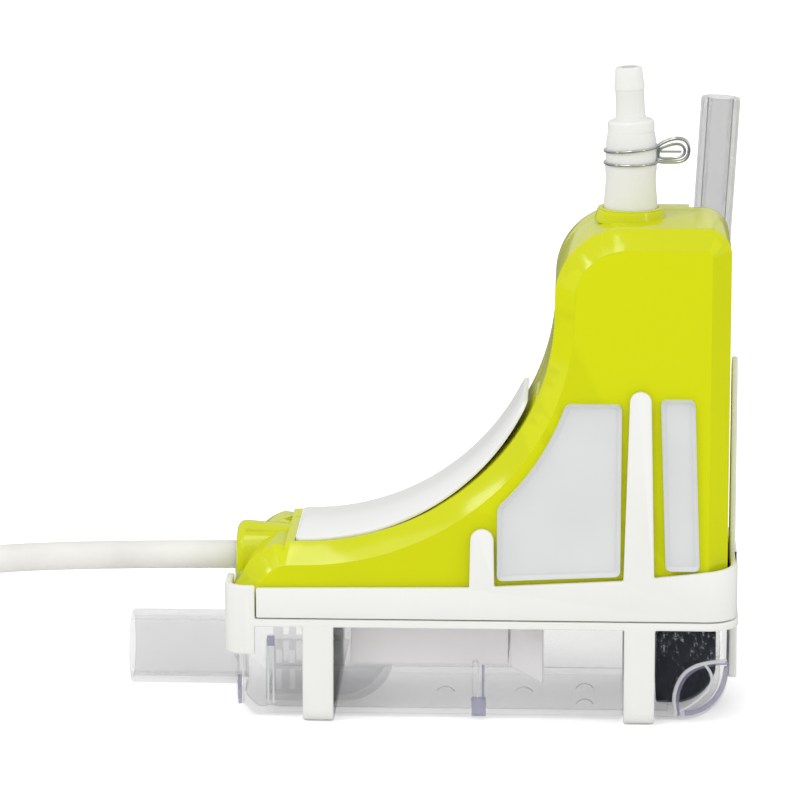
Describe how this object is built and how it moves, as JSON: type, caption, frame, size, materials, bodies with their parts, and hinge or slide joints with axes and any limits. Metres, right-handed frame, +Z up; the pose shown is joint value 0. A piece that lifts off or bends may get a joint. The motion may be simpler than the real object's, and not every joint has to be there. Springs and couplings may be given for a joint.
{
  "type": "condensate pump",
  "caption": "Boot-shaped air conditioner condensate pump with a clear reservoir under it, a barbed outlet on top and a wall bracket.",
  "frame": {"origin": "centre of the object's base, without the lead, on the surface it stands on", "axes": "+X towards the heel, away from the inlet tube; +Y towards the wall; +Z up"},
  "size_m": [0.3095, 0.0642, 0.1481],
  "materials": {
    "lime_plastic": "gloss",
    "white_plastic": "satin",
    "clear_plastic": "clear",
    "clear_hose": "clear",
    "label": "matt film",
    "steel": "zinc plated",
    "white_rubber": "matt",
    "clip_wire": "bright",
    "float_foam": "closed-cell foam",
    "magnet": "dull",
    "black_rubber": "matt",
    "motor_steel": "drawn can",
    "black_plastic": "moulded",
    "winding": "lacquered copper",
    "board": "green board",
    "terminal": "moulded",
    "relay": "moulded",
    "capacitor_can": "sleeve",
    "lead_sheath": "smooth",
    "tie": "nylon",
    "core_copper": "coloured cores"
  },
  "bodies": {
    "bracket": {"wall_bracket": "white_plastic"},
    "pump": {"housing_shell": "lime_plastic", "housing_cover": "lime_plastic", "pump_base": "white_plastic", "front_panel": "white_plastic", "rating_label": "label", "serial_label": "label", "cover_screws": "steel", "base_screws": "steel", "outlet_sleeve": "white_rubber", "outlet_connector": "white_plastic", "hose_clip": "clip_wire", "breather_hose": "clear_hose", "motor_mount": "black_rubber", "motor_can": "motor_steel", "motor_end_cap": "black_plastic", "motor_magnets": "magnet", "pump_cage": "black_plastic", "diaphragm": "black_rubber", "pump_chamber": "black_plastic", "valve_disc": "black_rubber", "head_cover": "black_plastic", "head_screws": "steel", "head_buffers": "black_rubber", "suction_tube": "clear_hose", "circuit_board": "board", "terminal_block": "terminal", "alarm_relay": "relay", "capacitors": "capacitor_can", "transformer": "winding", "sensor_board": "board", "cable_gland": "white_rubber", "cable": "lead_sheath", "cable_coil": "lead_sheath", "coil_tie": "tie", "cable_cores": "core_copper", "lead_tails": "core_copper"},
    "tray": {"cradle": "white_plastic", "reservoir": "clear_plastic", "filter_basket": "clear_plastic"},
    "float": {"level_float": "float_foam", "float_magnet": "magnet"},
    "rotor": {"motor_shaft": "steel", "rotor_core": "winding", "crank": "black_plastic"},
    "wobble": {"wobble_plate": "black_plastic"}
  },
  "joints": [
    {"name": "pump_lift", "type": "slide", "parent": "bracket", "child": "pump", "axis": [0, 0, 1], "range_m": [0, 0.06]},
    {"name": "reservoir_drop", "type": "slide", "parent": "bracket", "child": "tray", "axis": [0, 0, -1], "range_m": [0, 0.05]},
    {"name": "float_rise", "type": "slide", "parent": "tray", "child": "float", "axis": [0, 0, 1], "range_m": [0, 0.0045]},
    {"name": "motor_spin", "type": "hinge", "parent": "pump", "child": "rotor", "pos_m": [0.0446, 0, 0.05], "axis": [0, 0, 1], "continuous": true},
    {"name": "wobble_rock", "type": "hinge", "parent": "pump", "child": "wobble", "pos_m": [0.0446, 0, 0.073], "axis": [0, 1, 0], "range_deg": [-3, 3]}
  ]
}
